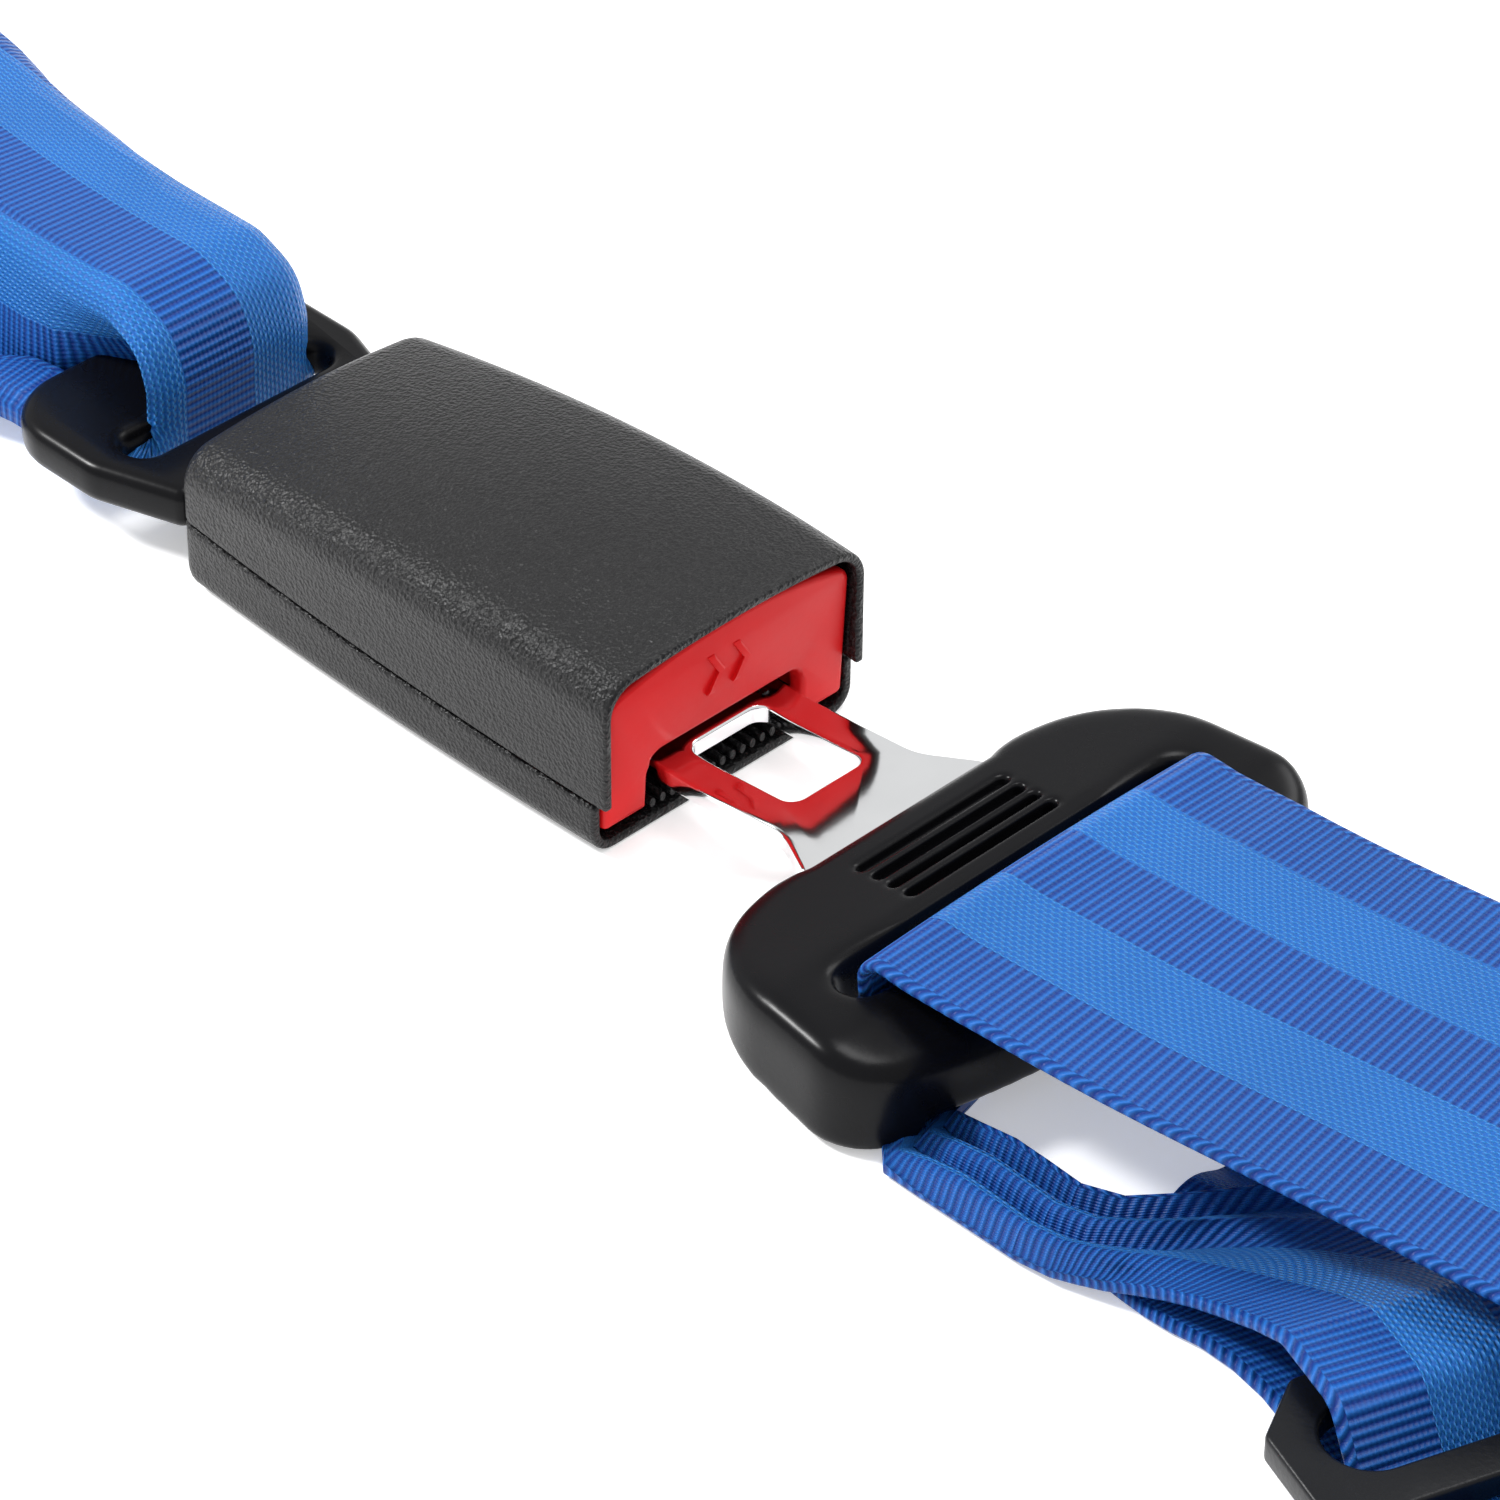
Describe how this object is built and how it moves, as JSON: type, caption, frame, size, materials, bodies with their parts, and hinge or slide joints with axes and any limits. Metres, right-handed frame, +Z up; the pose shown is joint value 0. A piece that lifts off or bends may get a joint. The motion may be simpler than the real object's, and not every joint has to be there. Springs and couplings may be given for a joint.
{
  "type": "racing harness",
  "caption": "Four-point webbing harness: push-button buckle, chromed tongue with slotted handle, slide adjusters, tied webbing stacks and bolt-in end anchors.",
  "frame": {"origin": "centre of the buckle's flat underside", "axes": "+X from the buckle towards the tongue, +Z up"},
  "size_m": [0.982, 0.2137, 0.0238],
  "materials": {
    "cover_plastic": "black, fine spark-eroded grain",
    "handle_plastic": "black satin overmoulding",
    "button_plastic": "red satin",
    "tongue_chrome": "polished chrome plate",
    "frame_steel": "zinc-plated pressed steel",
    "spring_steel": "drawn spring wire",
    "slider_plastic": "natural acetal",
    "webbing": "bright blue woven polyester, five lengthwise panels",
    "tie_band": "black hook-and-loop band",
    "thread": "blue sewing thread",
    "adjuster_steel": "black coated steel",
    "anchor_steel": "black coated steel"
  },
  "bodies": {
    "buckle": {"upper_cover": "cover_plastic", "lower_cover": "cover_plastic", "cover_screws": "frame_steel", "buckle_frame": "frame_steel", "latch_pin": "frame_steel", "rear_slot_plate": "frame_steel", "rear_plate_cover": "handle_plastic", "frame_rivets": "frame_steel", "ejector_springs": "spring_steel", "button_springs": "spring_steel", "latch_spring": "spring_steel", "buckle_loop_webbing_left": "webbing", "shoulder_webbing_left": "webbing", "shoulder_stack_left": "webbing", "lap_webbing_left": "webbing", "lap_tail_left": "webbing", "lap_stack_left": "webbing", "lap_adjuster_left": "adjuster_steel", "stack_ties_left": "tie_band", "shoulder_anchor_webbing_left": "webbing", "lap_anchor_webbing_left": "webbing", "shoulder_adjuster_left": "adjuster_steel", "shoulder_anchor_left": "anchor_steel", "lap_anchor_left": "anchor_steel", "anchor_stitching_left": "thread"},
    "latch": {"latch": "frame_steel"},
    "ejector": {"ejector": "slider_plastic"},
    "button": {"release_button": "button_plastic"},
    "tongue": {"tongue_plate": "tongue_chrome", "tongue_handle": "handle_plastic", "tongue_loop_webbing_right": "webbing", "shoulder_webbing_right": "webbing", "shoulder_stack_right": "webbing", "lap_webbing_right": "webbing", "lap_tail_right": "webbing", "lap_stack_right": "webbing", "lap_adjuster_right": "adjuster_steel", "stack_ties_right": "tie_band", "shoulder_anchor_webbing_right": "webbing", "lap_anchor_webbing_right": "webbing", "shoulder_adjuster_right": "adjuster_steel", "shoulder_anchor_right": "anchor_steel", "lap_anchor_right": "anchor_steel", "anchor_stitching_right": "thread"}
  },
  "joints": [
    {"name": "ejector_slide", "type": "slide", "parent": "buckle", "child": "ejector", "axis": [1, 0, 0], "range_m": [-0.018, 0], "stiffness_N_per_m": 60, "springref_m": 0.03, "deforming": ["ejector_springs"]},
    {"name": "tongue_slide", "type": "slide", "parent": "ejector", "child": "tongue", "axis": [1, 0, 0], "range_m": [0, 0.03]},
    {"name": "latch_pivot", "type": "hinge", "parent": "buckle", "child": "latch", "pos_m": [-0.02, 0, 0.0124], "axis": [0, 1, 0], "range_deg": [0, 5], "stiffness_Nm_per_rad": 0.05, "springref_deg": -17.19, "deforming": ["latch_spring"]},
    {"name": "button_press", "type": "slide", "parent": "buckle", "child": "button", "axis": [-1, 0, 0], "range_m": [0, 0.005], "stiffness_N_per_m": 600, "springref_m": -0.004, "deforming": ["button_springs"]}
  ]
}
